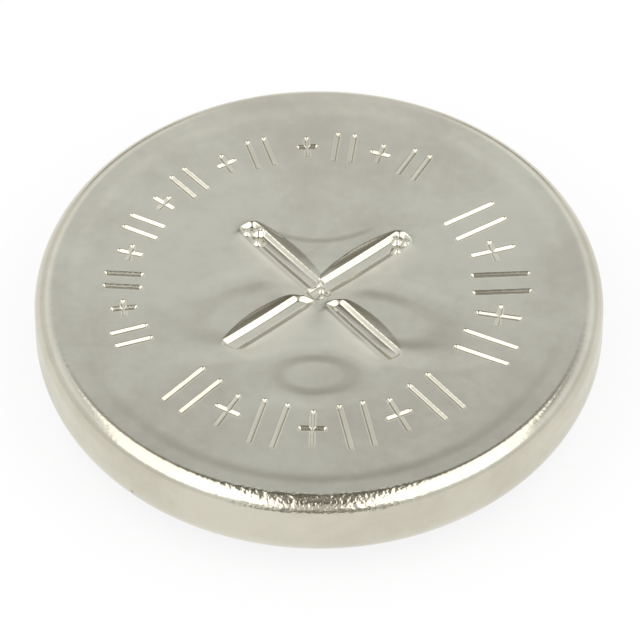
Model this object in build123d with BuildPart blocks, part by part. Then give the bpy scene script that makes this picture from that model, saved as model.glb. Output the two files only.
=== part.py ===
"""Rechargeable nickel-metal hydride button cell, in millimetres.

The cell lies on its negative lid. The origin is the centre of the lid's contact face, +Z points up through
the cell, and the stamped face of the positive cup is on top. From the top down the cell holds: the drawn
steel cup, a perforated insert, the positive tablet in its gauze basket, the separator, the negative tablet
in its gauze basket, the contact spring and the lid. A moulded ring insulates the lid from the cup, and the
rim of the cup is crimped over that ring.
"""

import os
from math import asin, atan, cos, degrees, hypot, radians, sin

from build123d import *

os.makedirs("parts", exist_ok=True)

# ---------------------------------------------------------------- driving dimensions, mm and degrees
cell_diameter = 11.5
cell_height = 2.1

cup_sheet = 0.20  # wall of the drawn cup
cup_inner_corner = 0.08  # radius inside the cup, between floor and wall
shoulder_radius = 0.28  # outer rounding between the stamped face and the wall
face_roll_radius = 12.0  # very shallow arc by which the face falls away towards the shoulder
face_roll_width = 0.57  # how far in from the shoulder that arc starts
crimp_radius = 0.80  # outer radius of the crimped rim
crimp_wrap = 62.0  # how far the rim is turned in, from upright

lid_sheet = 0.18
lid_stand = 0.34  # height of the crimp's lowest tangent above the lid's contact face
lid_edge_radius = 0.28  # outer rounding of the contact face
lid_neck_fillet = 0.12  # hollow fillet between the lid's neck and its flange
lid_groove = 0.15  # open groove between the ring's lip and the lid's neck

gasket_wall = 0.22
gasket_lip = 0.15  # flat end of the ring, past the crimp
gasket_foot = 0.30  # how far the ring's foot reaches in past the lid's skirt
gasket_corner = 0.12

fit_gap = 0.01  # between pressed-together round walls
slip_gap = 0.05  # round loose pieces that are dropped in

insert_sheet = 0.10
insert_centre_hole = 1.2  # radius
insert_hole = 0.45  # radius
insert_hole_count = 6

gauze_sheet = 0.06
gauze_window = 0.40
gauze_pitch = 0.80

separator_felt = 0.15
separator_margin = 0.05  # the felt stays this far inside the lid's corner

spring_sheet = 0.08
spring_lift = 0.18  # free height of the spring
spring_seat = 0.35  # flat width of each of its two rims
spring_margin = 0.35  # between the spring and the lid's wall
spring_bore = 1.5  # radius
spring_slot = 0.35
spring_finger_count = 8

score_width = 0.40  # vent cross, at the face
score_depth = 0.09
score_land = 0.16  # width of its flat bottom
score_angle = 40.0
score_to_marks = 0.73  # between the cross's tips and the ring of marks

stroke_width = 0.115  # stamped marks, at the face
stroke_depth = 0.04
stroke_land = 0.035
large_mark_margin = 1.45  # in from the cell's side to the marks' outer ends
large_mark_height = 1.22
small_mark_margin = 1.375
small_mark_height = 0.82
mark_clearance = 0.30  # free width between neighbouring marks
plus_inset = 0.13  # a plus sign is this much shorter than twin bars, at each end

# Groups of generic marks: each group's middle angle and count.
large_group_angles = [3.0, -92.0]
large_group_counts = [5, 7]
large_pitch_angle = 13.8
small_group_angles = [165.0, 113.0, 77.0]
small_group_counts = [7, 2, 4]
small_pitch_angle = 11.0

# ---------------------------------------------------------------- places worked out from them
cell_radius = cell_diameter / 2
crimp_centre_r = cell_radius - crimp_radius
crimp_centre_z = lid_stand + crimp_radius
cup_floor_z = cell_height - cup_sheet

gasket_outer_bend = crimp_radius - cup_sheet - fit_gap
gasket_inner_bend = gasket_outer_bend - gasket_wall
gasket_foot_z = cup_floor_z - gasket_wall

lid_outer_bend = gasket_inner_bend - fit_gap
lid_inner_bend = lid_outer_bend - lid_sheet
lid_skirt_r = crimp_centre_r + lid_outer_bend
lid_flange_z = crimp_centre_z - lid_outer_bend
lid_neck_r = crimp_centre_r - gasket_lip - lid_groove
lid_bore_r = lid_neck_r - lid_sheet
gasket_bore_r = crimp_centre_r + lid_inner_bend - gasket_foot

spring_z = lid_sheet
negative_z = spring_z + spring_lift
separator_z = lid_flange_z + lid_sheet
positive_z = separator_z + separator_felt
insert_z = cup_floor_z - insert_sheet

negative_basket_r = lid_bore_r - slip_gap
positive_basket_r = gasket_bore_r - slip_gap
separator_r = crimp_centre_r - separator_margin
spring_r = lid_bore_r - spring_margin

large_mark_r = cell_radius - large_mark_margin - large_mark_height / 2
small_mark_r = cell_radius - small_mark_margin - small_mark_height / 2
score_reach = large_mark_r - large_mark_height / 2 - score_to_marks


# ---------------------------------------------------------------- helpers
def write(part, name):
    """Labels one finished piece and writes its STEP file."""
    part.label = name
    export_step(part, f"parts/{name}.step")


def bend_point(radius, angle):
    """Point on an arc about the crimp's centre, angle degrees below the horizontal."""
    return (crimp_centre_r + radius * cos(radians(angle)), crimp_centre_z - radius * sin(radians(angle)))


def wall_taper(width, land, depth):
    """Taper of a groove's walls, from its width at the face to its flat bottom."""
    return degrees(atan((width - land) / 2 / depth))


def group_marks(group_angle, count, pitch_angle, radius, height):
    """(angle, radius, height, width, kind) of each mark in one group, twin bars and pluses in turn."""
    width = radians(pitch_angle) * radius - mark_clearance
    for k in range(count):
        angle = group_angle + (k - (count - 1) / 2) * pitch_angle
        if k % 2 == 0:
            yield angle, radius, height, width, "twin"
        else:
            yield angle, radius, height - 2 * plus_inset, width, "plus"


def marks():
    """Every stamped mark of the ring."""
    for group_angle, count in zip(large_group_angles, large_group_counts):
        yield from group_marks(group_angle, count, large_pitch_angle, large_mark_r, large_mark_height)
    for group_angle, count in zip(small_group_angles, small_group_counts):
        yield from group_marks(group_angle, count, small_pitch_angle, small_mark_r, small_mark_height)


def polar_place(radius, angle, along=0.0):
    """Place at a radius and angle, moved sideways by along, with its X axis pointing outwards."""
    a = radians(angle)
    return Location((radius * cos(a) - along * sin(a), radius * sin(a) + along * cos(a)), angle)


# ---------------------------------------------------------------- cell cup, positive
roll_start_r = cell_radius - shoulder_radius - face_roll_width
roll_angle = degrees(asin(face_roll_width / (face_roll_radius - shoulder_radius)))
shoulder_z = cell_height - face_roll_radius + (face_roll_radius - shoulder_radius) * cos(radians(roll_angle))

with BuildPart() as cell_cup:
    with BuildSketch(Plane.XZ):
        with BuildLine():
            face = Line((0, cell_height), (roll_start_r, cell_height))
            roll = CenterArc((roll_start_r, cell_height - face_roll_radius), face_roll_radius, 90, -roll_angle)
            shoulder = CenterArc(
                (cell_radius - shoulder_radius, shoulder_z), shoulder_radius, 90 - roll_angle, roll_angle - 90
            )
            wall = Line((cell_radius, shoulder_z), (cell_radius, crimp_centre_z))
            rim = CenterArc((crimp_centre_r, crimp_centre_z), crimp_radius, 0, -crimp_wrap)
            lip = Line(bend_point(crimp_radius, crimp_wrap), bend_point(crimp_radius - cup_sheet, crimp_wrap))
            rim_inside = CenterArc(
                (crimp_centre_r, crimp_centre_z), crimp_radius - cup_sheet, -crimp_wrap, crimp_wrap
            )
            inside = FilletPolyline(
                (cell_radius - cup_sheet, crimp_centre_z),
                (cell_radius - cup_sheet, cup_floor_z),
                (0, cup_floor_z),
                radius=cup_inner_corner,
            )
            axis_side = Line((0, cup_floor_z), (0, cell_height))
        make_face()
    revolve(axis=Axis.Z)

    # Vent cross: two coined grooves that weaken the floor.
    with BuildSketch(Plane.XY.offset(cell_height)) as score_one:
        SlotOverall(2 * score_reach, score_width, rotation=score_angle)
    extrude(amount=-score_depth, taper=wall_taper(score_width, score_land, score_depth), mode=Mode.SUBTRACT)
    with BuildSketch(Plane.XY.offset(cell_height)) as score_two:
        SlotOverall(2 * score_reach, score_width, rotation=score_angle + 90)
    extrude(amount=-score_depth, taper=wall_taper(score_width, score_land, score_depth), mode=Mode.SUBTRACT)

    # Ring of generic stamped marks: twin bars and plus signs.
    stroke_taper = wall_taper(stroke_width, stroke_land, stroke_depth)
    for angle, radius, height, width, kind in marks():
        if kind == "twin":
            side_step = (width - stroke_width) / 2
            radial_strokes = [polar_place(radius, angle, -side_step), polar_place(radius, angle, side_step)]
        else:
            radial_strokes = [polar_place(radius, angle)]
        with BuildSketch(Plane.XY.offset(cell_height)):
            with Locations(*radial_strokes):
                SlotOverall(height, stroke_width)
        extrude(amount=-stroke_depth, taper=stroke_taper, mode=Mode.SUBTRACT)
        if kind == "plus":
            with BuildSketch(Plane.XY.offset(cell_height)):
                with Locations(polar_place(radius, angle)):
                    SlotOverall(width, stroke_width, rotation=90)
            extrude(amount=-stroke_depth, taper=stroke_taper, mode=Mode.SUBTRACT)
write(cell_cup.part, "cell_cup")

# ---------------------------------------------------------------- sealing ring
with BuildPart() as sealing_ring:
    with BuildSketch(Plane.XZ):
        with BuildLine():
            FilletPolyline(
                (gasket_bore_r, cup_floor_z),
                (crimp_centre_r + gasket_outer_bend, cup_floor_z),
                (crimp_centre_r + gasket_outer_bend, crimp_centre_z - gasket_outer_bend),
                (crimp_centre_r - gasket_lip, crimp_centre_z - gasket_outer_bend),
                radius=[gasket_corner, gasket_outer_bend],
            )
            Line(
                (crimp_centre_r - gasket_lip, crimp_centre_z - gasket_outer_bend),
                (crimp_centre_r - gasket_lip, crimp_centre_z - gasket_inner_bend),
            )
            FilletPolyline(
                (crimp_centre_r - gasket_lip, crimp_centre_z - gasket_inner_bend),
                (crimp_centre_r + gasket_inner_bend, crimp_centre_z - gasket_inner_bend),
                (crimp_centre_r + gasket_inner_bend, gasket_foot_z),
                radius=gasket_inner_bend,
            )
            Polyline(
                (crimp_centre_r + gasket_inner_bend, gasket_foot_z),
                (gasket_bore_r, gasket_foot_z),
                (gasket_bore_r, cup_floor_z),
            )
        make_face()
    revolve(axis=Axis.Z)
write(sealing_ring.part, "sealing_ring")

# ---------------------------------------------------------------- cell lid, negative
with BuildPart() as cell_lid:
    with BuildSketch(Plane.XZ):
        with BuildLine():
            outside = FilletPolyline(
                (0, 0),
                (lid_neck_r, 0),
                (lid_neck_r, lid_flange_z),
                (lid_skirt_r, lid_flange_z),
                (lid_skirt_r, gasket_foot_z),
                radius=[lid_edge_radius, lid_neck_fillet, lid_outer_bend],
            )
            offset(amount=lid_sheet, side=Side.LEFT)
        make_face()
    revolve(axis=Axis.Z)
write(cell_lid.part, "cell_lid")

# ---------------------------------------------------------------- perforated insert under the vent
with BuildPart() as bottom_insert:
    with BuildSketch(Plane.XY.offset(insert_z)):
        Circle(positive_basket_r)
        Circle(insert_centre_hole, mode=Mode.SUBTRACT)
        with PolarLocations((insert_centre_hole + positive_basket_r) / 2, insert_hole_count):
            Circle(insert_hole, mode=Mode.SUBTRACT)
    extrude(amount=insert_sheet)
write(bottom_insert.part, "bottom_insert")


# ---------------------------------------------------------------- tablets and their gauze baskets
def gauze_windows(radius):
    """Centres of the square windows that fit whole inside a radius."""
    steps = int(radius / gauze_pitch) + 1
    reach = radius - gauze_window
    grid = [k * gauze_pitch for k in range(-steps, steps + 1)]
    return [(x, y) for x in grid for y in grid if hypot(x, y) < reach]


def gauze_basket(radius, floor_z, height):
    """Shallow gauze dish from floor_z. A negative height opens it downwards."""
    sheet = gauze_sheet if height > 0 else -gauze_sheet
    with BuildPart() as basket:
        with BuildSketch(Plane.XY.offset(floor_z)):
            Circle(radius)
        extrude(amount=height)
        with BuildSketch(Plane.XY.offset(floor_z + sheet)):
            Circle(radius - gauze_sheet)
        extrude(amount=height - sheet, mode=Mode.SUBTRACT)
        with BuildSketch(Plane.XY.offset(floor_z)):
            with Locations(*gauze_windows(radius - gauze_sheet)):
                Rectangle(gauze_window, gauze_window)
        extrude(amount=sheet, mode=Mode.SUBTRACT)
    return basket.part


def tablet(radius, low_z, high_z):
    """Pressed disc of active mass between two levels."""
    with BuildPart() as disc:
        with BuildSketch(Plane.XY.offset(low_z)):
            Circle(radius)
        extrude(amount=high_z - low_z)
    return disc.part


write(gauze_basket(positive_basket_r, insert_z, positive_z - insert_z), "positive_basket")
write(tablet(positive_basket_r - gauze_sheet - fit_gap, positive_z, insert_z - gauze_sheet), "positive_electrode")
write(tablet(separator_r, separator_z, positive_z), "separator")
write(gauze_basket(negative_basket_r, negative_z, separator_z - negative_z), "negative_basket")
write(tablet(negative_basket_r - gauze_sheet - fit_gap, negative_z + gauze_sheet, separator_z), "negative_electrode")

# ---------------------------------------------------------------- contact spring
with BuildPart() as contact_spring:
    with BuildSketch(Plane.XZ):
        with BuildLine():
            Polyline(
                (spring_r, spring_z),
                (spring_r - spring_seat, spring_z),
                (spring_bore + spring_seat, negative_z - spring_sheet),
                (spring_bore, negative_z - spring_sheet),
                (spring_bore, negative_z),
                (spring_bore + spring_seat, negative_z),
                (spring_r - spring_seat, spring_z + spring_sheet),
                (spring_r, spring_z + spring_sheet),
                close=True,
            )
        make_face()
    revolve(axis=Axis.Z)
    with BuildSketch(Plane.XY.offset(spring_z)):
        with PolarLocations((spring_bore + spring_r - spring_seat) / 2, spring_finger_count):
            SlotOverall(spring_r - spring_seat - spring_bore + spring_slot, spring_slot)
        Circle(spring_bore)
    extrude(amount=spring_lift, mode=Mode.SUBTRACT)
write(contact_spring.part, "contact_spring")
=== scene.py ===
"""Rechargeable button cell: finishes its pieces, lays the studio round it and sets the camera."""

from math import atan2, cos, pi, radians, sin, sqrt, tan

import bmesh
import bpy
import numpy as np
from bpy.props import FloatProperty, FloatVectorProperty, IntProperty, PointerProperty
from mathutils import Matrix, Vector


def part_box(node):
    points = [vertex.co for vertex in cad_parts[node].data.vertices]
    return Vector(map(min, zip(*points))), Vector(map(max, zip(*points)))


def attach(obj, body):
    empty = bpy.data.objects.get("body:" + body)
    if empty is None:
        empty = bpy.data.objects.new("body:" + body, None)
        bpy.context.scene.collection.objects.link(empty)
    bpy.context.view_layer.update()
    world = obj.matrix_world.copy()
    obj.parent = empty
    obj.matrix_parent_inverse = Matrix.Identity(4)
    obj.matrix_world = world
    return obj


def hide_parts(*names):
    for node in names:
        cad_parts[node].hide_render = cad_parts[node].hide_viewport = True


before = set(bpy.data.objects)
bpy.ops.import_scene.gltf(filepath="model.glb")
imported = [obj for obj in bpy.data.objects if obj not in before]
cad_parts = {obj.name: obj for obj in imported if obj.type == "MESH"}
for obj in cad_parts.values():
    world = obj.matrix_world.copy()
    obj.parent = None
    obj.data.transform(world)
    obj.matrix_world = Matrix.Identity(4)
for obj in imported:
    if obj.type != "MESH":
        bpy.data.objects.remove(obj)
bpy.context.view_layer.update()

bl_info = {
    "name": "Rechargeable Button Cell",
    "version": (1, 0, 0),
    "blender": (4, 5, 0),
    "location": "View3D > Sidebar > Button Cell",
    "description": "Models the cup, the sealing ring and the lid, and finishes every piece",
    "category": "Object",
}

MM = 0.001
BODY = "root"

CUP_LOW, CUP_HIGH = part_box("cell_cup")
RING_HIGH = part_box("sealing_ring")[1]
LID_LOW, LID_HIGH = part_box("cell_lid")

WHITE = (1.0, 1.0, 1.0)


# ---------------------------------------------------------------- settings
def length(name, description, default_mm):
    """A length property with its default in millimetres."""
    return FloatProperty(
        name=name, description=description, default=default_mm * MM, min=0.0, unit="LENGTH", precision=5)


def angle(name, description, default_degrees):
    """An angle property with its default in degrees."""
    return FloatProperty(
        name=name, description=description, default=radians(default_degrees), subtype="ANGLE")


def factor(name, description, default):
    """A property from 0 to 1."""
    return FloatProperty(
        name=name, description=description, default=default, min=0.0, max=1.0, subtype="FACTOR")


def number(name, description, default, least=0.0):
    """A plain number property."""
    return FloatProperty(name=name, description=description, default=default, min=least)


def colour(name, description, default):
    """A linear colour property."""
    return FloatVectorProperty(
        name=name, description=description, default=default, size=3, min=0.0, max=1.0, subtype="COLOR")


def count(name, description, default):
    """A whole-number property."""
    return IntProperty(name=name, description=description, default=default, min=1)


class ShellSettings(bpy.types.PropertyGroup):
    """Sizes that the cup, the ring and the lid share."""

    turn_steps: count("Turn steps", "Steps of a full turn; a multiple of 4", 288)
    cup_sheet: length("Cup sheet", "Wall of the drawn cup", 0.20)
    crimp_radius: length("Crimp radius", "Outer radius of the crimped rim", 0.80)
    crimp_wrap: angle("Crimp wrap", "How far the rim is turned in", 62)
    lip_round: length("Lip rounding", "Small radius on cut edges", 0.03)
    gasket_wall: length("Ring wall", "Wall of the sealing ring", 0.22)
    gasket_lip: length("Ring lip", "Flat end of the ring past the crimp", 0.15)
    gasket_foot: length("Ring foot", "How far the foot reaches in", 0.30)
    gasket_corner: length("Ring corner", "Outer rounding of the foot", 0.12)
    fit_gap: length("Fit gap", "Gap between pressed round walls", 0.01)
    lid_sheet: length("Lid sheet", "Wall of the lid", 0.18)
    lid_groove: length("Lid groove", "Open groove round the lid's neck", 0.15)
    lid_edge_radius: length("Lid edge radius", "Rounding of the contact face", 0.28)
    lid_neck_fillet: length("Lid neck fillet", "Hollow fillet at the neck's root", 0.12)


class CupSettings(bpy.types.PropertyGroup):
    """Sizes of the cup's stamped face."""

    shoulder_radius: length("Shoulder radius", "Rounding between face and wall", 0.365)
    roll_width: length("Rim width", "Between the shoulder and the step where the face starts to fall", 0.485)
    step_width: length("Step width", "Width of that shallow step", 0.20)
    step_slope: angle("Step slope", "Slope of the step", 1.55)
    step_round: length("Step rounding", "Radius that eases the step", 6.0)
    rim_slope: angle("Rim slope", "Slope from the step to the shoulder", 0.3)
    inner_corner: length("Inner corner", "Radius inside the cup", 0.08)
    disc_margin: length("Disc margin", "Finely divided disc ends this far from the wall", 1.05)
    score_width: length("Cross width", "Width of the vent cross's grooves", 0.44)
    score_reach: length("Cross reach", "From the middle to a groove's end", 2.35)
    score_angle: angle("Cross angle", "Turn of the vent cross", 40)
    facet_width: length("Facet width", "Widest part of the crisp facet on a groove's far side", 0.190)
    facet_depth: length("Facet depth", "Depth of that facet at the groove", 0.0225)
    facet_bend: number("Facet bend", "How much steeper its outer edge is", 0.45)
    fall_width: length("Fall width", "Wide soft fall on a groove's near side", 0.62)
    fall_depth: length("Fall depth", "Depth of that fall at the groove", 0.036)
    bead_height: number("Bead height", "Height of the raised beads, in their radii", 0.58)
    stroke_width: length("Stroke width", "Width of a stamped stroke", 0.115)
    stroke_depth: length("Stroke depth", "Depth of a stamped stroke", 0.042)
    large_mark_radius: length("Large mark radius", "Middle of the large marks", 3.69)
    large_mark_height: length("Large mark height", "Radial height of the large marks", 1.22)
    large_pitch: angle("Large pitch", "Angle between large marks", 13.8)
    small_mark_radius: length("Small mark radius", "Middle of the small marks", 3.965)
    small_mark_height: length("Small mark height", "Radial height of the small marks", 0.82)
    small_pitch: angle("Small pitch", "Angle between small marks", 11)
    mark_clearance: length("Mark clearance", "Free width between marks", 0.30)
    plus_inset: length("Plus inset", "A plus sign is this much shorter at each end", 0.13)


class FinishSettings(bpy.types.PropertyGroup):
    """Colours and roughness of the finishes."""

    nickel: colour("Nickel", "Bright nickel plating", (0.650, 0.622, 0.515))
    # This dull colour also paints the dark reflection in rings round the pressed patches on the cup's face.
    nickel_dull_and_painted_reflection: colour("Dull nickel", "Plating where it has dulled", (0.545, 0.515, 0.42))
    face_roughness: factor("Face roughness", "Roughness of the stamped face", 0.14)
    wall_roughness: factor("Wall roughness", "Roughness of the shoulder and the drawn wall", 0.27)
    polyamide: colour("Polyamide", "Black moulded ring", (0.012, 0.012, 0.014))
    sheet_nickel: colour("Sheet nickel", "Rolled inner sheet", (0.56, 0.54, 0.49))
    positive_mass: colour("Positive mass", "Pressed nickel hydroxide", (0.020, 0.026, 0.021))
    negative_mass: colour("Negative mass", "Pressed alloy powder", (0.075, 0.073, 0.072))
    felt: colour("Felt", "Separator felt", (0.72, 0.70, 0.63))


class StudioSettings(bpy.types.PropertyGroup):
    """Floor, light and camera."""

    view_elevation: angle("View elevation", "Camera height above the horizon", 48.1)
    view_distance: number("View distance", "Distance of the camera in cell radii", 27.0, 5.0)
    frame_width: number("Frame width", "Width of the picture in cell radii", 2.2475, 1.0)
    aim_right: number("Aim right", "Aim beside the face's middle, in cell radii", 0.0035, -1.0)
    aim_down: number("Aim down", "Aim below the face's middle, in cell radii", 0.1035, -1.0)
    floor_colour: colour("Floor", "Pale floor", (0.80, 0.80, 0.80))
    floor_glow: factor("Floor glow", "Share of the floor that the camera sees as plain white", 0.85)
    bank_strength: number("Bank strength", "Radiance of the two light banks", 2.1)


# ---------------------------------------------------------------- mesh helpers, in millimetres
def mm(value):
    """A property's metres in millimetres."""
    return value / MM


def arc(centre, radius, start, end, steps):
    """(r, z) points of an arc in the half section, angles in radians from outwards, turning upwards."""
    turns = [start + (end - start) * k / steps for k in range(steps + 1)]
    return [(centre[0] + radius * cos(t), centre[1] + radius * sin(t)) for t in turns]


def rounded(points, radii, steps=6):
    """The same open outline with each inner corner rounded to its own radius."""
    outline = [points[0]]
    for before, corner, after, radius in zip(points, points[1:], points[2:], radii):
        corner_v = Vector(corner)
        back = (Vector(before) - corner_v).normalized()
        ahead = (Vector(after) - corner_v).normalized()
        half_angle = back.angle(ahead) / 2
        centre = corner_v + (back + ahead).normalized() * (radius / sin(half_angle))
        cut = radius / tan(half_angle)
        start = corner_v + back * cut - centre
        sweep = start.angle_signed(corner_v + ahead * cut - centre)
        first = atan2(start.y, start.x)
        outline += arc(centre, radius, first, first - sweep, steps)
    return outline + [points[-1]]


def spun(outline, steps, closed):
    """A new bmesh: an (r, z) outline turned once round the axis."""
    bm = bmesh.new()
    verts = [bm.verts.new((r, 0.0, z)) for r, z in outline]
    pairs = list(zip(verts, verts[1:]))
    if closed:
        pairs.append((verts[-1], verts[0]))
    edges = [bm.edges.new(pair) for pair in pairs]
    bmesh.ops.spin(
        bm, geom=verts + edges, cent=(0, 0, 0), axis=(0, 0, 1), dvec=(0, 0, 0),
        angle=2 * pi, steps=steps, use_merge=True, use_normal_flip=False, use_duplicate=False,
    )
    return bm


def take_in(bm, other):
    """Moves everything from another bmesh into this one."""
    passing = bpy.data.meshes.new("passing")
    other.to_mesh(passing)
    other.free()
    bm.from_mesh(passing)
    bpy.data.meshes.remove(passing)


def weld(bm):
    """Merges seams and poles, and turns every face outwards."""
    bmesh.ops.remove_doubles(bm, verts=bm.verts, dist=1e-4)
    bmesh.ops.recalc_face_normals(bm, faces=bm.faces)


def finished(bm, name, material, node):
    """Makes the mesh an object in metres that stands for its CAD node."""
    bmesh.ops.scale(bm, vec=(MM, MM, MM), verts=bm.verts)
    mesh = bpy.data.meshes.new(name)
    bm.to_mesh(mesh)
    bm.free()
    mesh.shade_smooth()
    mesh.materials.append(material)
    piece = bpy.data.objects.new(name, mesh)
    bpy.context.scene.collection.objects.link(piece)
    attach(piece, BODY)
    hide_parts(node)
    return piece


class Section:
    """Radii and levels of the crimped stack, from the frame and the shell settings."""

    def __init__(self, shell):
        self.cell_r = mm(CUP_HIGH.x)
        self.face_z = mm(CUP_HIGH.z)
        self.crimp = mm(shell.crimp_radius)
        self.sheet = mm(shell.cup_sheet)
        self.wrap = shell.crimp_wrap
        self.centre_r = self.cell_r - self.crimp
        self.centre_z = mm(CUP_LOW.z) + self.crimp * sin(self.wrap)
        self.floor_z = self.face_z - self.sheet
        self.ring_outer = self.crimp - self.sheet - mm(shell.fit_gap)
        self.ring_inner = self.ring_outer - mm(shell.gasket_wall)
        self.lid_outer = self.ring_inner - mm(shell.fit_gap)
        self.centre = (self.centre_r, self.centre_z)
        self.lip_round = mm(shell.lip_round)


# ---------------------------------------------------------------- the stamped face
class FaceRelief:
    """Depth of everything pressed into the cup's face."""

    # Groups of marks: middle angle in degrees, count, and whether they are the large ones.
    GROUPS = ((3.0, 5, True), (-92.0, 7, True), (165.0, 7, False), (113.0, 2, False), (77.0, 4, False))
    # Arms of the vent cross: quarter turns from the first, where the groove starts and how its ends lean.
    ARMS = ((0, -0.24, 0.0), (1, -0.24, 0.0), (2, 0.31, 0.45), (3, 0.40, -0.20))
    # Corner radius of a groove's ends, as a share of half its width.
    END_ROUND = 0.75
    # Sections of the two grooves from near to far side, across and down in millimetres, and the width over
    # which their creases are eased.
    SECTIONS = (
        ((-0.215, 0.0), (-0.065, 0.066), (0.110, 0.0765), (0.138, 0.0762), (0.218, 0.0)),
        ((-0.220, 0.0), (-0.125, 0.005), (-0.010, 0.0635), (0.070, 0.066), (0.148, 0.063), (0.219, 0.0)),
    )
    EASE = 0.01
    # Depth of the two grooves' facets, as a share of the set depth, and how full the facets' bow is.
    FACET_SHARES = (1.0, 0.86)
    FACET_BOW = 0.75
    # Width that the soft fall keeps at an arm's two ends, as a share of its widest.
    FALL_ENDS = 0.35
    # Least share of the bow, so that no width is nothing.
    LEAST_BOW = 0.02
    # The facet's outer crease counts as this much farther away when the mesh is divided.
    CREASE_REACH = 0.02
    # Rounded part of a stroke's bottom, as a share of its half width.
    ROUND_BOTTOM = 0.30
    # Raised beads that the stamp left at the two far ends and on the crossing: x, y and radius.
    BEADS = (
        (-1.43, 1.625, 0.125), (-1.235, 1.64, 0.125), (-1.225, 1.365, 0.130),
        (1.58, 1.42, 0.120), (1.755, 1.36, 0.115), (1.565, 1.14, 0.120),
        (0.035, 0.21, 0.085), (0.045, 0.07, 0.090), (0.077, -0.13, 0.095),
    )

    def __init__(self, cup):
        self.cup = cup
        self.half_groove = mm(cup.score_width) / 2
        self.half_stroke = mm(cup.stroke_width) / 2
        self.strokes = np.array(list(self.mark_strokes()))

    def mark_strokes(self):
        """Middle lines of the stamped strokes, as x0, y0, x1, y1."""
        cup = self.cup
        for group_angle, number, large in self.GROUPS:
            pitch = cup.large_pitch if large else cup.small_pitch
            radius = mm(cup.large_mark_radius if large else cup.small_mark_radius)
            height = mm(cup.large_mark_height if large else cup.small_mark_height)
            width = pitch * radius - mm(cup.mark_clearance)
            for k in range(number):
                turn = radians(group_angle) + (k - (number - 1) / 2) * pitch
                out = np.array((cos(turn), sin(turn)))
                side = np.array((-sin(turn), cos(turn)))
                middle = radius * out
                if k % 2 == 0:
                    reach = (height / 2 - self.half_stroke) * out
                    for step in (-1, 1):
                        line = middle + step * (width / 2 - self.half_stroke) * side
                        yield (*(line - reach), *(line + reach))
                else:
                    reach = (height / 2 - mm(cup.plus_inset) - self.half_stroke) * out
                    yield (*(middle - reach), *(middle + reach))
                    reach = (width / 2 - self.half_stroke) * side
                    yield (*(middle - reach), *(middle + reach))

    def stroke_distance(self, points):
        """Distance from each point to the nearest stroke's middle line."""
        nearest = np.full(len(points), 1e3)
        for x0, y0, x1, y1 in self.strokes:
            start = np.array((x0, y0))
            along = np.array((x1, y1)) - start
            share = np.clip((points - start) @ along / (along @ along), 0.0, 1.0)
            gap = points - start - share[:, None] * along
            nearest = np.minimum(nearest, np.hypot(gap[:, 0], gap[:, 1]))
        return nearest

    def on_arm(self, points, quarter, lean=0.0):
        """Places of the points along and across one arm of the cross."""
        turn = self.cup.score_angle + quarter * pi / 2
        along = points[:, 0] * cos(turn) + points[:, 1] * sin(turn)
        across = -points[:, 0] * sin(turn) + points[:, 1] * cos(turn)
        return along + lean * across, across

    def arm_distance(self, points, arm):
        """Signed distance to one groove's outline, a bar with round ends."""
        quarter, root, lean = arm
        reach, corner = mm(self.cup.score_reach), self.END_ROUND * self.half_groove
        along, across = self.on_arm(points, quarter, lean)
        dx = np.abs(along - (root + reach) / 2) - (reach - root) / 2 + corner
        dy = np.abs(across) - self.half_groove + corner
        outside = np.hypot(np.maximum(dx, 0), np.maximum(dy, 0))
        return outside + np.minimum(np.maximum(dx, dy), 0) - corner

    def detail(self, points):
        """Distance from each point to the nearest sharp detail, for the division of the mesh."""
        gap = self.stroke_distance(points) - self.half_stroke
        for arm in self.ARMS:
            out = self.arm_distance(points, arm)
            on_far_side = self.far_side(self.on_arm(points, arm[0])[1], arm[0]) > 0.0
            crease = np.abs(out - self.facet_reach(points, arm)) + self.CREASE_REACH
            gap = np.minimum(gap, np.where(on_far_side, np.minimum(out, crease), out))
        for x, y, radius in self.BEADS:
            gap = np.minimum(gap, np.hypot(points[:, 0] - x, points[:, 1] - y) - radius)
        return gap

    def far_side(self, across, quarter):
        """Distance across an arm, counted towards its far side."""
        return across * (1.0 if cos(self.cup.score_angle + quarter * pi / 2) > 0.0 else -1.0)

    def groove(self, points, arm, gap):
        """Depth of one groove: its section, with the same steep wall all round its ends."""
        quarter, _, _ = arm
        section = np.array(self.SECTIONS[quarter % 2])
        across = self.far_side(self.on_arm(points, quarter)[1], quarter)
        depth = np.zeros(len(points))
        for shift, weight in ((-self.EASE, 0.25), (0.0, 0.50), (self.EASE, 0.25)):
            depth += weight * np.interp(across + shift, section[:, 0], section[:, 1])
        wall = section[-1, 0] - section[-2, 0]
        ends = section[-2, 1] * np.clip(-gap / wall, 0.0, 1.0)
        return np.where(gap < 0.0, np.minimum(depth, ends + self.EASE * (ends > 0.0)), 0.0)

    def bow(self, points, arm):
        """0 at an arm's two ends and 1 half way along it."""
        quarter, root, _ = arm
        along, _ = self.on_arm(points, quarter)
        start = max(root, 0.0)
        share = np.clip((along - start) / (mm(self.cup.score_reach) - start), 0.0, 1.0)
        return np.maximum(np.sin(pi * share), self.LEAST_BOW)

    def facet_reach(self, points, arm):
        """How far the crisp facet reaches from its groove."""
        return mm(self.cup.facet_width) * self.bow(points, arm) ** self.FACET_BOW

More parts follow.
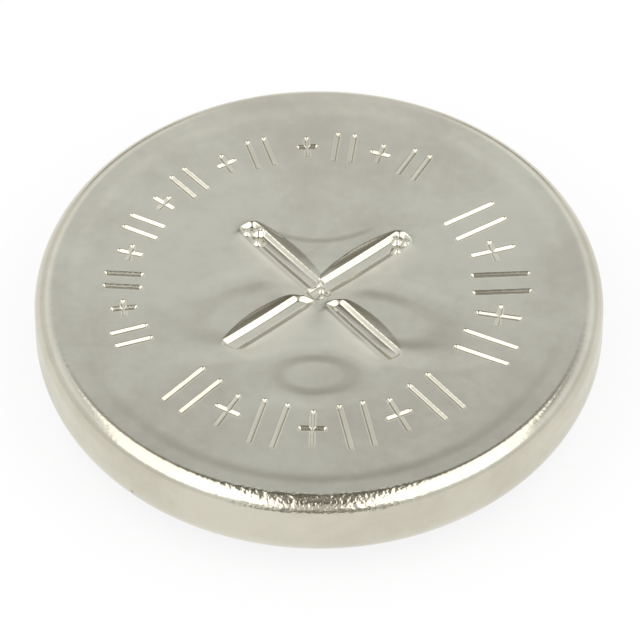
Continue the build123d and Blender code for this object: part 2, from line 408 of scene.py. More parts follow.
    def beside(self, points, arm, gap):
        """The sheet beside a groove: a crisp sagging facet on its far side, a soft fall on its near side."""
        cup = self.cup
        bow = self.bow(points, arm)
        out = np.maximum(gap, 0.0)
        share = np.clip(out / self.facet_reach(points, arm), 0.0, 1.0)
        facet = mm(cup.facet_depth) * self.FACET_SHARES[arm[0] % 2] * bow**self.FACET_BOW
        facet *= (1.0 - share) * (1.0 + cup.facet_bend * share)
        fall_reach = mm(cup.fall_width) * (self.FALL_ENDS + (1.0 - self.FALL_ENDS) * bow**0.5)
        fall = mm(cup.fall_depth) * bow**0.5 * np.clip(1.0 - out / fall_reach, 0.0, 1.0) ** 3
        across = self.on_arm(points, arm[0])[1]
        side = np.clip(0.5 + 0.5 * self.far_side(across, arm[0]) / self.half_groove, 0.0, 1.0)
        return fall + side * (facet - fall)

    def cross_depth(self, points):
        """The vent cross with the hollows beside its grooves."""
        cut = np.zeros(len(points))
        sag = np.zeros(len(points))
        for arm in self.ARMS:
            gap = self.arm_distance(points, arm)
            cut = np.maximum(cut, self.groove(points, arm, gap))
            sag = np.maximum(sag, self.beside(points, arm, gap))
        for x, y, radius in self.BEADS:
            cut -= self.bead(points - (x, y), radius)
        return cut + sag

    def bead(self, offset, radius):
        """Height of one bead, a dome with a steep foot."""
        share = (offset[:, 0] ** 2 + offset[:, 1] ** 2) / radius**2
        return self.cup.bead_height * radius * np.clip(1.0 - share, 0.0, 1.0)

    def stroke_depth(self, points):
        """Stamped strokes: straight walls that meet in a narrow rounded bottom."""
        gap = self.stroke_distance(points) / self.half_stroke
        deepest = 1.0 - self.ROUND_BOTTOM / 2
        bottom = deepest - gap**2 / (2 * self.ROUND_BOTTOM)
        depth = np.where(gap < self.ROUND_BOTTOM, bottom, np.clip(1.0 - gap, 0.0, 1.0))
        return mm(self.cup.stroke_depth) * depth / deepest

    def depth(self, points):
        """Total depth below the plain face."""
        return self.cross_depth(points) + self.stroke_depth(points)


# The face's edges are halved once within each of these distances of a detail, in millimetres.
DIVIDE_WITHIN = (0.24, 0.11, 0.035)
# An extra ring of vertices stands this far inside the shoulder's edge, which keeps the rim's shading flat.
EDGE_GUARD = 0.015
# Steps of the cup's arcs, outside and inside, of its straight wall and of the floor inside it.
SHOULDER_STEPS, CRIMP_STEPS, INSIDE_STEPS, LIP_STEPS, WALL_STEPS, FLOOR_STEPS = 20, 16, 10, 3, 6, 4


def round_grid(bm, radius, z, cells):
    """Disc of even quads whose rim has 4 * cells even steps."""
    for vert in bmesh.ops.create_grid(bm, x_segments=cells, y_segments=cells, size=1.0)["verts"]:
        a = sqrt(2) * sin(vert.co.x * pi / 4)
        b = sqrt(2) * sin(vert.co.y * pi / 4)
        vert.co = (radius * a * sqrt(1 - b * b / 2), radius * b * sqrt(1 - a * a / 2), z)
    bmesh.ops.triangulate(bm, faces=bm.faces)


def refine(bm, relief, reaches):
    """Divides the edges near the details, once for each reach, and leaves the rim as it is."""
    for reach in reaches:
        edges = [e for e in bm.edges if not e.is_boundary]
        middles = np.array([((e.verts[0].co + e.verts[1].co) / 2)[:2] for e in edges])
        near = relief.detail(middles) < reach
        chosen = [e for e, inside in zip(edges, near) if inside]
        bmesh.ops.subdivide_edges(bm, edges=chosen, cuts=1, use_grid_fill=True)
        bmesh.ops.triangulate(bm, faces=[f for f in bm.faces if len(f.verts) > 3])


def press_face(bm, relief):
    """Moves the disc's vertices down into the relief."""
    verts = list(bm.verts)
    depth = relief.depth(np.array([v.co[:2] for v in verts]))
    for vert, low in zip(verts, depth):
        vert.co.z -= low


def cup_outline(section, cup):
    """Half section of the cup from the fine disc's rim, round the lip and back to the axis inside."""
    r, top, shoulder = section.cell_r, section.face_z, mm(cup.shoulder_radius)
    step_start = r - shoulder - mm(cup.roll_width)
    step_end = (step_start + mm(cup.step_width), top - mm(cup.step_width) * tan(cup.step_slope))
    edge_r = r - shoulder + shoulder * sin(cup.rim_slope)
    edge_z = step_end[1] - (edge_r - step_end[0]) * tan(cup.rim_slope)
    shoulder_z = edge_z - shoulder * cos(cup.rim_slope)
    inner, floor = r - section.sheet, section.floor_z
    lip_end = section.crimp - section.sheet
    tip, tip_inside = (
        (section.centre_r + radius * cos(section.wrap), section.centre_z - radius * sin(section.wrap))
        for radius in (section.crimp, lip_end)
    )
    face = [(r - mm(cup.disc_margin), top), (step_start, top), step_end, (edge_r, edge_z)]
    outline = rounded(face, [mm(cup.step_round)] * 2, LIP_STEPS)
    outline.insert(-1, (edge_r - EDGE_GUARD, edge_z + EDGE_GUARD * tan(cup.rim_slope)))
    outline += arc((r - shoulder, shoulder_z), shoulder, pi / 2 - cup.rim_slope, 0.0, SHOULDER_STEPS)[1:]
    wall = section.centre_z - shoulder_z
    outline += [(r, shoulder_z + wall * k / WALL_STEPS) for k in range(1, WALL_STEPS)]
    outline += arc(section.centre, section.crimp, 0.0, -section.wrap, CRIMP_STEPS)[:-1]
    inside = arc(section.centre, lip_end, -section.wrap, 0.0, INSIDE_STEPS)[1:]
    outline += rounded([outline[-1], tip, tip_inside, inside[0]], [section.lip_round] * 2, LIP_STEPS)[1:-1]
    outline += inside
    inner_corner = [(inner, section.centre_z), (inner, floor), (0.0, floor)]
    outline += rounded(inner_corner, [mm(cup.inner_corner)], FLOOR_STEPS)[1:-1]
    return outline + [(inner * k / FLOOR_STEPS, floor) for k in reversed(range(FLOOR_STEPS))]


# ---------------------------------------------------------------- material helpers
def connect(tree, socket, value):
    """Links an output socket, or sets a plain value."""
    if isinstance(value, bpy.types.NodeSocket):
        tree.links.new(value, socket)
    else:
        socket.default_value = value


def feed(tree, node, **inputs):
    """Gives a node's inputs their values or links; an underscore in a name stands for a space."""
    for name, value in inputs.items():
        connect(tree, node.inputs[name.replace("_", " ")], value)


def put(tree, kind, settings=None, **inputs):
    """Adds a node; an input is a value or another node's output socket."""
    node = tree.nodes.new(kind)
    for name, value in (settings or {}).items():
        setattr(node, name, value)
    feed(tree, node, **inputs)
    return node


def math(tree, operation, a, b=0.0, c=0.0, clamp=False):
    """A Math node's output."""
    node = tree.nodes.new("ShaderNodeMath")
    node.operation = operation
    node.use_clamp = clamp
    for socket, value in zip(node.inputs, (a, b, c)):
        connect(tree, socket, value)
    return node.outputs[0]


def times(tree, first, *others):
    """The product of several values."""
    for other in others:
        first = math(tree, "MULTIPLY", first, other)
    return first


def vector_math(tree, operation, a, b=(0.0, 0.0, 0.0)):
    """A Vector Math node's outputs."""
    node = put(tree, "ShaderNodeVectorMath", {"operation": operation})
    for socket, value in zip(node.inputs, (a, b)):
        connect(tree, socket, value)
    return node.outputs


def mix_colour(tree, share, a, b):
    """A colour mix's output; a and b are colours or colour sockets."""
    node = put(tree, "ShaderNodeMix", {"data_type": "RGBA"})
    connect(tree, node.inputs[0], share)
    for socket, value in zip((node.inputs[6], node.inputs[7]), (a, b)):
        connect(tree, socket, value if isinstance(value, bpy.types.NodeSocket) else (*value, 1.0))
    return node.outputs[2]


def spread(tree, value, low, high, to_low=0.0, to_high=1.0):
    """Maps a range of a value to another, smoothly and clamped."""
    node = put(tree, "ShaderNodeMapRange", {"interpolation_type": "SMOOTHSTEP"})
    for socket, entry in zip(node.inputs, (value, low, high, to_low, to_high)):
        connect(tree, socket, entry)
    return node.outputs[0]


def fade(tree, value, low, high):
    """1 below the low value and 0 above the high one, with a soft change between."""
    return spread(tree, value, low, high, 1.0, 0.0)


def noise(tree, vector, scale, detail=3.0, roughness=0.55):
    """Noise whose scale is in features per millimetre."""
    node = put(tree, "ShaderNodeTexNoise",
               Vector=vector, Scale=scale / MM, Detail=detail, Roughness=roughness)
    return node.outputs["Fac"]


def ripple(tree, vector, scale, detail, roughness):
    """The same noise, centred on 0."""
    return math(tree, "SUBTRACT", noise(tree, vector, scale, detail, roughness), 0.5)


def cells(tree, vector, scale):
    """Distance to the nearest of scattered points, with their scale in points per millimetre."""
    return put(tree, "ShaderNodeTexVoronoi", Vector=vector, Scale=scale / MM).outputs["Distance"]


def stretched(tree, where, scale, turn=0.0):
    """Coordinates turned about the axis and scaled, which draws a pattern out."""
    return put(tree, "ShaderNodeMapping", Vector=where, Rotation=(0.0, 0.0, turn), Scale=scale).outputs[0]


def axis_mm(tree, where, axis):
    """One coordinate of a place, in millimetres."""
    parts = put(tree, "ShaderNodeSeparateXYZ", Vector=where).outputs
    return math(tree, "DIVIDE", parts[axis], MM)


def toned(tone, share):
    """A colour made lighter or darker."""
    return tuple(min(1.0, share * part) for part in tone)


def new_group(name, vectors, values, outputs):
    """An empty shader node group with vector inputs, value inputs with their defaults, and value outputs."""
    group = bpy.data.node_groups.new(name, "ShaderNodeTree")
    for label in vectors:
        group.interface.new_socket(label, in_out="INPUT", socket_type="NodeSocketVector")
    for label, default in values.items():
        socket = group.interface.new_socket(label, in_out="INPUT", socket_type="NodeSocketFloat")
        socket.default_value = default
    for label in outputs:
        group.interface.new_socket(label, in_out="OUTPUT", socket_type="NodeSocketFloat")
    return group, group.nodes.new("NodeGroupInput").outputs, group.nodes.new("NodeGroupOutput").inputs


def plating_group():
    """Soft mottling, dull patches, fine pits and grain of plated metal."""
    group, given, out = new_group(
        "Plating", ["Vector"], {"Mottle": 0.5, "Pits": 0.5}, ["Dull", "Grain", "Pit"])
    where = given["Vector"]
    broad = noise(group, where, 0.35, 4.0, 0.6)
    fine = noise(group, where, 2.4, 5.0, 0.65)
    patch = spread(group, math(group, "MULTIPLY_ADD", fine, 0.35, broad), 0.52, 0.92)
    group.links.new(times(group, patch, given["Mottle"]), out["Dull"])
    grain = math(group, "ADD", noise(group, where, 14.0, 3.0, 0.6), noise(group, where, 45.0, 2.0, 0.5))
    group.links.new(grain, out["Grain"])
    dot = fade(group, cells(group, where, 0.55), 0.035, 0.05)
    few = math(group, "GREATER_THAN", noise(group, where, 0.9, 1.0, 0.5), 0.56)
    group.links.new(times(group, dot, few, given["Pits"]), out["Pit"])
    return group


def use_group(tree, group, **inputs):
    """Places a node group and returns its outputs."""
    return put(tree, "ShaderNodeGroup", {"node_tree": group}, **inputs).outputs


def new_material(name, metallic):
    """A material with an empty Principled surface; returns it with its tree, shader and coordinates."""
    material = bpy.data.materials.new(name)
    material.use_nodes = True
    tree = material.node_tree
    shader = tree.nodes["Principled BSDF"]
    shader.inputs["Metallic"].default_value = metallic
    where = tree.nodes.new("ShaderNodeTexCoord").outputs["Object"]
    return material, tree, shader, where


def marked_material(name, metallic, mottle, pits):
    """A new material, and the marks that the shared plating group gives it."""
    material, tree, shader, where = new_material(name, metallic)
    plating = bpy.data.node_groups.get("Plating") or plating_group()
    marks = use_group(tree, plating, Vector=where, Mottle=mottle, Pits=pits)
    return material, tree, shader, where, marks


def radius_of(tree, where):
    """Distance from the cell's axis, in millimetres."""
    flat = vector_math(tree, "MULTIPLY", where, (1.0, 1.0, 0.0))[0]
    return math(tree, "DIVIDE", vector_math(tree, "LENGTH", flat)["Value"], MM)


def bump(tree, shader, height, distance_mm, below=None):
    """Chains a Bump node into the shader's normal."""
    node = put(tree, "ShaderNodeBump", Height=height, Strength=1.0, Distance=distance_mm * MM)
    if below is not None:
        feed(tree, node, Normal=below)
    feed(tree, shader, Normal=node.outputs["Normal"])
    return node.outputs["Normal"]


def patch_group():
    """A flat patch on the face: height in millimetres where the sheet leaves it, and a ring of painted dark
    reflection round it.
    """
    group, given, out = new_group(
        "Pressed Patch", ["Vector", "Centre", "Reach", "Turn"], {"Rise": 0.01}, ["Height", "Ring"])
    where, centre = given["Vector"], given["Centre"]
    local = put(group, "ShaderNodeMapping", {"vector_type": "TEXTURE"},
                Vector=where, Location=centre, Rotation=given["Turn"], Scale=given["Reach"]).outputs[0]
    flat = vector_math(group, "MULTIPLY", local, (1.0, 1.0, 0.0))[0]
    reach = vector_math(group, "LENGTH", flat)["Value"]
    back = axis_mm(group, vector_math(group, "SUBTRACT", where, centre)[0], "Y")
    window = times(group, spread(group, reach, 1.0, 1.7), fade(group, reach, 1.7, 2.8))
    group.links.new(times(group, back, window, given["Rise"]), out["Height"])
    # The ring is painted dark reflection: a band round the patch where the plating is darkened in place of
    # the sloping sheet's reflection of the dim ceiling.
    ring = times(group, spread(group, reach, 0.85, 1.2), fade(group, reach, 1.25, 1.75))
    group.links.new(ring, out["Ring"])
    return group


# Flat patches that the press left round the cross: centre, half length and half width in millimetres, turn
# in degrees, rise in millimetres per millimetre, and how strongly the ring of painted dark reflection round
# the patch darkens the plating.
PATCHES = (
    ((-0.08, -2.27), (0.58, 0.33), 0.0, 0.006, 0.9),
    ((1.25, -0.75), (0.95, 0.42), -20.0, 0.008, 0.35),
    ((-1.30, -0.55), (1.00, 0.45), 20.0, 0.005, 0.35),
)
# The soft sill behind the cross: its middle line's distance from the face's centre and how it curves back,
# then the height of its edge and of the slow rise in front of it, in millimetres.
SILL_BACK, SILL_CURVE = 1.36, 0.28
SILL_EDGE, SILL_RISE = 0.0036, 0.006


def pressed_patches(tree, where):
    """Height of the flat patches and of the sill behind the cross, in millimetres, and the rings of painted
    dark reflection round the patches.
    """
    group = patch_group()
    total, rings = 0.0, 0.0
    for centre, reach, turn, rise, ring in PATCHES:
        given = use_group(
            tree, group, Vector=where, Centre=(centre[0] * MM, centre[1] * MM, 0.0),
            Reach=(reach[0] * MM, reach[1] * MM, 1.0), Turn=(0.0, 0.0, radians(turn)), Rise=rise,
        )
        total = math(tree, "ADD", given["Height"], total)
        # Each patch adds its ring of painted dark reflection, which darkens the plating by its own share.
        rings = math(tree, "MULTIPLY_ADD", given["Ring"], ring, rings)
    beside = math(tree, "ABSOLUTE", axis_mm(tree, where, "X"))
    line = math(tree, "MULTIPLY_ADD", times(tree, beside, beside), SILL_CURVE, SILL_BACK)
    behind = math(tree, "SUBTRACT", axis_mm(tree, where, "Y"), line)
    edge = spread(tree, behind, -0.09, 0.09, 0.0, SILL_EDGE)
    sill = math(tree, "ADD", edge, spread(tree, behind, -1.0, 0.0, 0.0, SILL_RISE))
    window = times(tree, fade(tree, beside, 0.7, 1.4), fade(tree, behind, 0.2, 2.6))
    return math(tree, "MULTIPLY_ADD", sill, window, total), rings


# Depths on the cup in millimetres: grain, broad waves, draw lines, and orange peel at the back and in front.
GRAIN, WAVES, DRAW_LINES = 0.00025, 0.0035, 0.0012
PEEL_BACK, PEEL_FRONT = 0.0025, 0.0115
# The peel deepens between these cosines of the angle from straight in front.
FRONT_ARC = (0.90, 0.975)
# Where the shoulder starts, counted in from the wall, and where the wall starts, counted down from the face.
SHOULDER_BAND, WALL_BAND = (0.42, 0.28), (0.36, 0.18)
PIT_COLOUR = (0.12, 0.11, 0.10)


def nickel_material(finish, section):
    """Bright nickel plate: calm on the face, orange peel on the shoulder, faint draw lines on the wall, and
    rings of painted dark reflection round the pressed patches.
    """
    material, tree, shader, where, marks = marked_material("cup_nickel", 1.0, mottle=0.8, pits=1.0)
    radius = radius_of(tree, where)
    shoulder = spread(tree, radius, *(section.cell_r - inset for inset in SHOULDER_BAND))
    wall = fade(tree, axis_mm(tree, where, "Z"), *(section.face_z - drop for drop in WALL_BAND))
    ahead = times(tree, axis_mm(tree, where, "Y"), -1.0)
    ahead = math(tree, "DIVIDE", ahead, math(tree, "MAXIMUM", radius, 0.1))
    rough_arc = spread(tree, ahead, *FRONT_ARC, PEEL_BACK, PEEL_FRONT)
    above_wall = math(tree, "SUBTRACT", 1.0, wall)
    patches, rings = pressed_patches(tree, where)

    # Darker plating from the mottle, and from the rings of painted dark reflection round the patches.
    dull_and_painted_reflection = math(tree, "MULTIPLY_ADD", rings, 0.8, marks["Dull"], clamp=True)
    plate = mix_colour(tree, dull_and_painted_reflection, finish.nickel, finish.nickel_dull_and_painted_reflection)
    face_rough = math(tree, "MULTIPLY_ADD", marks["Dull"], 0.05, finish.face_roughness)
    more_on_wall = finish.wall_roughness - finish.face_roughness
    feed(tree, shader, Base_Color=mix_colour(tree, marks["Pit"], plate, PIT_COLOUR),
         Roughness=math(tree, "MULTIPLY_ADD", wall, more_on_wall, face_rough))

    drawn = ripple(tree, stretched(tree, where, (1.0, 1.0, 0.12)), 9.0, 3.0, 0.6)
    layers = (
        (patches, 1.0),
        (marks["Grain"], GRAIN),
        (ripple(tree, where, 0.9, 2.0, 0.5), WAVES),
        (times(tree, ripple(tree, where, 10.0, 1.0, 0.5), rough_arc, shoulder, above_wall), 1.0),
        (times(tree, drawn, wall), DRAW_LINES),
    )
    total = 0.0
    for layer, depth in layers:
        total = math(tree, "MULTIPLY_ADD", layer, depth, total)
    bump(tree, shader, total, 1.0)
    return material


def lid_material(finish):
    """Nickel plate with faint rings left by the drawing."""
    material, tree, shader, where, marks = marked_material("lid_nickel", 1.0, mottle=0.9, pits=0.6)
    outwards = put(tree, "ShaderNodeCombineXYZ", X=times(tree, radius_of(tree, where), MM)).outputs[0]
    rings = noise(tree, outwards, 14.0, 3.0)
    feed(tree, shader, Base_Color=mix_colour(tree, marks["Dull"], finish.nickel, finish.nickel_dull_and_painted_reflection),
         Roughness=math(tree, "MULTIPLY_ADD", rings, 0.14, 0.16))
    grain = bump(tree, shader, marks["Grain"], 0.0003)
    bump(tree, shader, rings, 0.0008, below=grain)
    return material


def polyamide_material(finish):
    """Black moulded polyamide with a soft skin."""
    material, tree, shader, _, marks = marked_material("black_polyamide", 0.0, mottle=0.6, pits=0.0)
    tone = mix_colour(tree, marks["Dull"], finish.polyamide, toned(finish.polyamide, 3.2))
    feed(tree, shader, Base_Color=tone, Roughness=math(tree, "MULTIPLY_ADD", marks["Dull"], 0.15, 0.34))
    bump(tree, shader, marks["Grain"], 0.0012)
    return material


def rolled_material(name, base, roughness, lines):
    """Rolled or woven inner metal; lines is the number of roll lines per millimetre."""
    material, tree, shader, where, marks = marked_material(name, 1.0, mottle=0.8, pits=0.3)
    roll = noise(tree, stretched(tree, where, (1.0, 0.06, 1.0)), lines, 4.0, 0.6)
    feed(tree, shader, Base_Color=mix_colour(tree, marks["Dull"], base, toned(base, 0.8)),
         Roughness=math(tree, "MULTIPLY_ADD", roll, 0.2, roughness))
    bump(tree, shader, math(tree, "ADD", roll, marks["Grain"]), 0.0015)
    return material


def pressed_material(name, base, sparkle):
    """Pressed powder: matt, crumbly, with specks that are lighter by the sparkle's factor."""
    material, tree, shader, where, marks = marked_material(name, 0.0, mottle=1.0, pits=1.0)
    grit = cells(tree, where, 16.0)
    speck = fade(tree, grit, 0.12, 0.3)
    tone = mix_colour(tree, times(tree, speck, 0.6), base, toned(base, sparkle))
    feed(tree, shader, Base_Color=mix_colour(tree, marks["Pit"], tone, (0.01, 0.01, 0.01)),
         Roughness=math(tree, "MULTIPLY_ADD", speck, -0.15, 0.86))
    bump(tree, shader, math(tree, "ADD", grit, marks["Grain"]), 0.012)
    return material


def felt_material(finish):
    """Separator felt: crossed fibres with a soft sheen."""
    material, tree, shader, where, marks = marked_material("separator_felt", 0.0, mottle=0.5, pits=0.0)
    fibres = 0.0
    for turn in (0.3, 1.4, 2.5):
        strand = noise(tree, stretched(tree, where, (1.0, 0.08, 1.0), turn), 22.0, 2.0, 0.6)
        fibres = math(tree, "MAXIMUM", fibres, strand)
    shade = toned(finish.felt, 0.72)
    tone = mix_colour(tree, spread(tree, fibres, 0.5, 0.8), shade, finish.felt)
    feed(tree, shader, Base_Color=mix_colour(tree, marks["Dull"], tone, shade),
         Roughness=spread(tree, fibres, 0.4, 0.8, 1.0, 0.8), Sheen_Weight=0.3)
    bump(tree, shader, fibres, 0.02)
    return material


# ---------------------------------------------------------------- operators
# Rounding of the sealing ring's foot, in millimetres.
FOOT_ROUND = 0.02


class CELL_OT_cup(bpy.types.Operator):
    """Models the drawn cup with its vent cross, stamped marks and crimped rim"""

    bl_idname = "cell.cup"
    bl_label = "Make Cell Cup"
    bl_options = {"REGISTER", "UNDO"}

    def execute(self, context):
        scene = context.scene
        shell, cup = scene.cell_shell, scene.cell_cup
        section = Section(shell)
        relief = FaceRelief(cup)
        bm = bmesh.new()
        round_grid(bm, section.cell_r - mm(cup.disc_margin), section.face_z, shell.turn_steps // 4)
        refine(bm, relief, DIVIDE_WITHIN)
        press_face(bm, relief)
        take_in(bm, spun(cup_outline(section, cup), shell.turn_steps, closed=False))
        weld(bm)
        material = nickel_material(scene.cell_finish, section)
        finished(bm, "stamped_cup", material, "cell_cup")
        return {"FINISHED"}


class CELL_OT_sealing_ring(bpy.types.Operator):
    """Models the moulded ring that shows between the crimped rim and the lid"""

    bl_idname = "cell.sealing_ring"
    bl_label = "Make Sealing Ring"
    bl_options = {"REGISTER", "UNDO"}

    def execute(self, context):
        scene = context.scene
        shell = scene.cell_shell
        section = Section(shell)
        outer, inner, soft = section.ring_outer, section.ring_inner, section.lip_round
        centre_r, centre_z = section.centre
        lip_r = centre_r - mm(shell.gasket_lip)
        bore = mm(RING_HIGH.x) - (outer - section.lid_outer + mm(shell.lid_sheet)) - mm(shell.gasket_foot)
        foot_z = section.floor_z - mm(shell.gasket_wall)
        corners = [
            (bore, section.floor_z),
            (centre_r + outer, section.floor_z),
            (centre_r + outer, centre_z - outer),
            (lip_r, centre_z - outer),
            (lip_r, centre_z - inner),
            (centre_r + inner, centre_z - inner),
            (centre_r + inner, foot_z),
            (bore, foot_z),
            (bore, section.floor_z),
        ]
        radii = [mm(shell.gasket_corner), outer, soft, soft, inner, FOOT_ROUND, FOOT_ROUND]
        bm = spun(rounded(corners, radii, 12)[:-1], shell.turn_steps, closed=True)
        weld(bm)
        material = polyamide_material(scene.cell_finish)
        finished(bm, "moulded_ring", material, "sealing_ring")
        return {"FINISHED"}


class CELL_OT_lid(bpy.types.Operator):
    """Models the drawn lid that is the negative pole"""

    bl_idname = "cell.lid"
    bl_label = "Make Cell Lid"
    bl_options = {"REGISTER", "UNDO"}

    def execute(self, context):
        scene = context.scene
        shell = scene.cell_shell
        section = Section(shell)
        sheet, bend = mm(shell.lid_sheet), section.lid_outer
        neck = section.centre_r - mm(shell.gasket_lip) - mm(shell.lid_groove)
        flange_z = section.centre_z - bend
        skirt = section.centre_r + bend
        top, low = mm(LID_HIGH.z), mm(LID_LOW.z)
        outside = rounded(
            [(0.0, low), (neck, low), (neck, flange_z), (skirt, flange_z), (skirt, top)],
            [mm(shell.lid_edge_radius), mm(shell.lid_neck_fillet), bend], 10,
        )
        inside = rounded(
            [(0.0, low + sheet), (neck - sheet, low + sheet), (neck - sheet, flange_z + sheet),
             (skirt - sheet, flange_z + sheet), (skirt - sheet, top)],
            [mm(shell.lid_edge_radius) - sheet, mm(shell.lid_neck_fillet) + sheet, bend - sheet], 10,
        )
        flats = [(neck * k / 6, low) for k in range(1, 5)]
        outline = outside[:1] + flats + outside[1:] + inside[::-1]
        bm = spun(outline, shell.turn_steps, closed=False)
        weld(bm)
        finished(bm, "drawn_lid", lid_material(scene.cell_finish), "cell_lid")
        return {"FINISHED"}


class CELL_OT_inner_parts(bpy.types.Operator):
    """Gives every piece inside the cell its finish"""

    bl_idname = "cell.inner_parts"
    bl_label = "Finish Inner Parts"
    bl_options = {"REGISTER", "UNDO"}

    def execute(self, context):
        finish = context.scene.cell_finish
        gauze = rolled_material("nickel_gauze", finish.sheet_nickel, 0.32, 18.0)
        finishes = {
            "bottom_insert": rolled_material("nickel_sheet", finish.sheet_nickel, 0.22, 12.0),
            "contact_spring": rolled_material("spring_steel", finish.nickel, 0.20, 15.0),
            "positive_basket": gauze,
            "negative_basket": gauze,
            "positive_electrode": pressed_material("pressed_hydroxide", finish.positive_mass, 2.2),
            "negative_electrode": pressed_material("pressed_alloy", finish.negative_mass, 3.5),
            "separator": felt_material(finish),
        }
        for node, material in finishes.items():
            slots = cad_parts[node].data.materials
            slots.clear()
            slots.append(material)
        return {"FINISHED"}


class CELL_OT_studio(bpy.types.Operator):
    """Lays the floor, paints the light banks and the surroundings, and sets the camera"""

    bl_idname = "cell.studio"
    bl_label = "Set Up Studio"
    bl_options = {"REGISTER", "UNDO"}

    def execute(self, context):
        scene = context.scene
        studio = scene.cell_studio
        lay_floor(studio)
        paint_surroundings(scene, studio)
        set_camera(scene, studio)
        scene.view_settings.view_transform = "Standard"
        return {"FINISHED"}


# ---------------------------------------------------------------- studio
# The floor's radius, and how far it lies under the lid so that their faces don't share a plane, in metres.
FLOOR_RADIUS, FLOOR_GAP = 1.2, 5e-6


def seen_in_metal(tree):
    """1 for rays that left a glossy or clear surface."""
    path = tree.nodes.new("ShaderNodeLightPath").outputs
    return math(tree, "MAXIMUM", path["Is Glossy Ray"], path["Is Transmission Ray"])


def mix_shader(tree, share, a, b):
    """A Mix Shader node's output."""
    node = tree.nodes.new("ShaderNodeMixShader")
    for socket, value in zip(node.inputs, (share, a, b)):
        connect(tree, socket, value)
    return node.outputs[0]


def lay_floor(studio):
    """A wide pale floor just under the lid, clear from below so that the underside can be looked at."""
    bm = bmesh.new()
    bmesh.ops.create_circle(bm, cap_ends=True, segments=96, radius=FLOOR_RADIUS)
    if next(iter(bm.faces)).normal.z < 0.0:
        bmesh.ops.reverse_faces(bm, faces=bm.faces)
    bmesh.ops.translate(bm, vec=(0.0, 0.0, -FLOOR_GAP), verts=bm.verts)
    mesh = bpy.data.meshes.new("pale_floor")
    bm.to_mesh(mesh)
    bm.free()
    floor = bpy.data.objects.new("pale_floor", mesh)
    bpy.context.scene.collection.objects.link(floor)
    material, tree, shader, _ = new_material("pale_floor", 0.0)
    feed(tree, shader, Base_Color=(*studio.floor_colour, 1.0), Roughness=1.0, Specular_IOR_Level=0.0)
    glow = put(tree, "ShaderNodeEmission", Color=(*WHITE, 1.0), Strength=1.0).outputs[0]
    seen = tree.nodes.new("ShaderNodeLightPath").outputs["Is Camera Ray"]
    share = math(tree, "MAXIMUM", seen_in_metal(tree), times(tree, seen, studio.floor_glow))
    lit = mix_shader(tree, share, shader.outputs[0], glow)
    from_below = tree.nodes.new("ShaderNodeNewGeometry").outputs["Backfacing"]
    clear = tree.nodes.new("ShaderNodeBsdfTransparent").outputs[0]
    feed(tree, tree.nodes["Material Output"], Surface=mix_shader(tree, from_below, lit, clear))
    mesh.materials.append(material)


# Colour of the surroundings by height, from the horizon (0) to straight up (1).
SWEEP = (
    (0.000, (0.84, 0.85, 0.87)),
    (0.380, (0.86, 0.87, 0.90)),
    (0.500, (1.04, 1.06, 1.09)),
    (0.640, (1.00, 1.03, 1.06)),
    (0.700, (0.895, 0.925, 0.97)),
    (0.748, (0.800, 0.830, 0.877)),
    (0.790, (0.52, 0.53, 0.54)),
    (0.820, (0.28, 0.27, 0.245)),
    (0.850, (0.157, 0.139, 0.108)),
    (0.880, (0.127, 0.110, 0.082)),
    (0.930, (0.152, 0.136, 0.106)),
    (0.975, (0.25, 0.24, 0.21)),
    (1.000, (0.30, 0.29, 0.265)),
)
# The same for the narrow gap between the light banks, in front of the cell, where the camera stands.
GAP = (
    (0.000, (0.30, 0.29, 0.27)),
    (0.150, (0.24, 0.23, 0.21)),
    (0.400, (0.66, 0.65, 0.63)),
    (0.740, (0.62, 0.61, 0.59)),
    (0.870, (0.122, 0.107, 0.086)),
    (0.940, (0.112, 0.097, 0.077)),
    (0.985, (0.22, 0.21, 0.185)),
    (1.000, (0.27, 0.26, 0.235)),
)
# Even tone straight behind the cell, and the tone of the two dim low strips beside it.
STRAIGHT_BACK = (0.81, 0.825, 0.85)
LOW_STRIPS = (0.40, 0.39, 0.37)
# Soft edges of the parts of the surroundings, as |x|, y or z of a direction.
GAP_SIDE, GAP_BACK = (0.18, 0.30), (-0.12, 0.05)
BACK_SIDE, BACK_START, BACK_TOP = (0.05, 0.13), (0.0, 0.1), (0.64, 0.72)
STRIP_INNER, STRIP_OUTER, STRIP_TOP = (0.15, 0.22), (0.36, 0.46), (0.19, 0.26)
BANK_INNER, BANK_LOW, BANK_BACK = (0.12, 0.19), (0.38, 0.48), (0.42, 0.50)
# Past this |x| the banks' back edge comes forward by this much for each unit of |x|.
BANK_SLANT_START, BANK_SLANT = 0.36, 1.2
# The sweep's tones lie this much lower on the right than on the left, for each unit of x.
SWEEP_TILT = 0.06


def ramp(tree, value, stops):
    """A colour ramp's output."""
    node = tree.nodes.new("ShaderNodeValToRGB")
    tree.links.new(value, node.inputs[0])
    elements = node.color_ramp.elements
    while len(elements) < len(stops):
        elements.new(0.5)
    for element, (place, tone) in zip(elements, stops):
        element.position = place
        element.color = (*tone, 1.0)
    return node.outputs["Color"]


def light_banks(tree, beside, toward_back, height):
    """1 inside the two light banks overhead, left and right of the gap, given |x|, y and z of a direction."""
    past = math(tree, "MAXIMUM", math(tree, "SUBTRACT", beside, BANK_SLANT_START), 0.0)
    back = fade(tree, math(tree, "MULTIPLY_ADD", past, BANK_SLANT, toward_back), *BANK_BACK)
    return times(tree, spread(tree, beside, *BANK_INNER), spread(tree, height, *BANK_LOW), back)


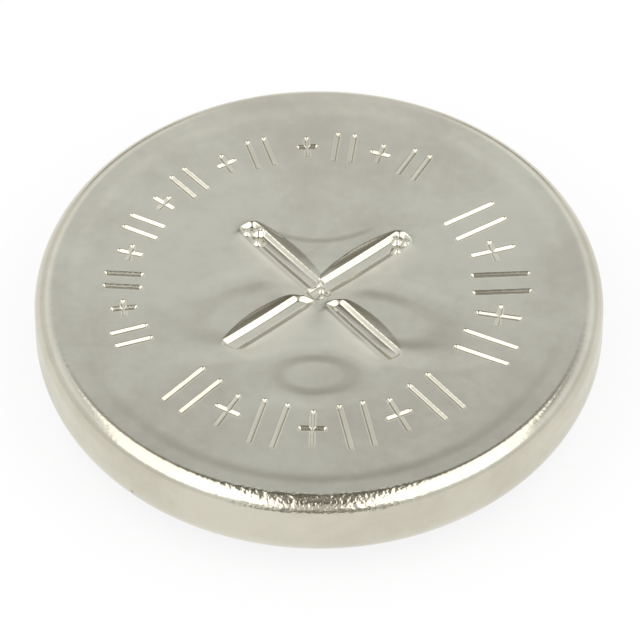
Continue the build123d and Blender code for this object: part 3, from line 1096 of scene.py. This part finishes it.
def paint_surroundings(scene, studio):
    """White sweep under a dim ceiling, with two light banks, the gap between them and two dim low strips."""
    world = bpy.data.worlds.new("studio_room")
    world.use_nodes = True
    tree = world.node_tree
    way = tree.nodes.new("ShaderNodeTexCoord").outputs["Generated"]
    x, y, z = list(put(tree, "ShaderNodeSeparateXYZ", Vector=way).outputs)
    beside = math(tree, "ABSOLUTE", x)
    level = math(tree, "MULTIPLY_ADD", x, SWEEP_TILT, z)
    open_way = math(tree, "MAXIMUM", spread(tree, beside, *GAP_SIDE), spread(tree, y, *GAP_BACK))
    room = mix_colour(tree, open_way, ramp(tree, z, GAP), ramp(tree, level, SWEEP))
    behind = times(tree, fade(tree, beside, *BACK_SIDE), spread(tree, y, *BACK_START))
    room = mix_colour(tree, times(tree, behind, fade(tree, z, *BACK_TOP)), room, STRAIGHT_BACK)
    strips = times(tree, spread(tree, beside, *STRIP_INNER), fade(tree, beside, *STRIP_OUTER))
    room = mix_colour(tree, times(tree, strips, fade(tree, z, *STRIP_TOP)), room, LOW_STRIPS)
    room = mix_colour(tree, light_banks(tree, beside, y, z), room, (studio.bank_strength,) * 3)
    seen = tree.nodes.new("ShaderNodeLightPath").outputs["Is Camera Ray"]
    feed(tree, tree.nodes["Background"], Color=mix_colour(tree, seen, room, WHITE))
    scene.world = world


def set_camera(scene, studio):
    """A long lens in front of the cell, looking down on its face."""
    radius, rise = CUP_HIGH.x, studio.view_elevation
    away = Vector((0.0, -cos(rise), sin(rise)))
    up = Vector((0.0, sin(rise), cos(rise)))
    right = Vector((1.0, 0.0, 0.0))
    face = Vector((0.0, 0.0, CUP_HIGH.z))
    camera = bpy.data.cameras.new("camera")
    camera.sensor_width = 36.0
    camera.lens = camera.sensor_width * studio.view_distance / studio.frame_width
    camera.clip_start = 0.01
    holder = bpy.data.objects.new("camera", camera)
    place = face + away * studio.view_distance * radius
    aim = face + (right * studio.aim_right - up * studio.aim_down) * radius
    holder.location = place
    holder.rotation_euler = (place - aim).to_track_quat("Z", "Y").to_euler()
    scene.collection.objects.link(holder)
    scene.camera = holder


# ---------------------------------------------------------------- panel and registration
class CELL_PT_panel(bpy.types.Panel):
    """Lists the cell's pieces and their settings"""

    bl_idname = "CELL_PT_panel"
    bl_label = "Button Cell"
    bl_space_type = "VIEW_3D"
    bl_region_type = "UI"
    bl_category = "Button Cell"

    def draw(self, context):
        for step in STEPS:
            self.layout.operator(step.bl_idname)
        for name, (label, _) in GROUPS.items():
            box = self.layout.box()
            box.label(text=label)
            settings = getattr(context.scene, name)
            for prop in settings.__annotations__:
                box.prop(settings, prop)


STEPS = (CELL_OT_cup, CELL_OT_sealing_ring, CELL_OT_lid, CELL_OT_inner_parts, CELL_OT_studio)
GROUPS = {
    "cell_shell": ("Shells", ShellSettings),
    "cell_cup": ("Face", CupSettings),
    "cell_finish": ("Finish", FinishSettings),
    "cell_studio": ("Studio", StudioSettings),
}


def register():
    """Registers the settings, the operators and the panel."""
    for name, (_, group) in GROUPS.items():
        bpy.utils.register_class(group)
        setattr(bpy.types.Scene, name, PointerProperty(type=group))
    for step in STEPS:
        bpy.utils.register_class(step)
    bpy.utils.register_class(CELL_PT_panel)


def unregister():
    """Takes everything out again."""
    bpy.utils.unregister_class(CELL_PT_panel)
    for step in reversed(STEPS):
        bpy.utils.unregister_class(step)
    for name, (_, group) in GROUPS.items():
        delattr(bpy.types.Scene, name)
        bpy.utils.unregister_class(group)


def main():
    """Makes everything in order."""
    register()
    bpy.ops.cell.cup()
    bpy.ops.cell.sealing_ring()
    bpy.ops.cell.lid()
    bpy.ops.cell.inner_parts()
    bpy.ops.cell.studio()


if __name__ == "__main__":
    main()
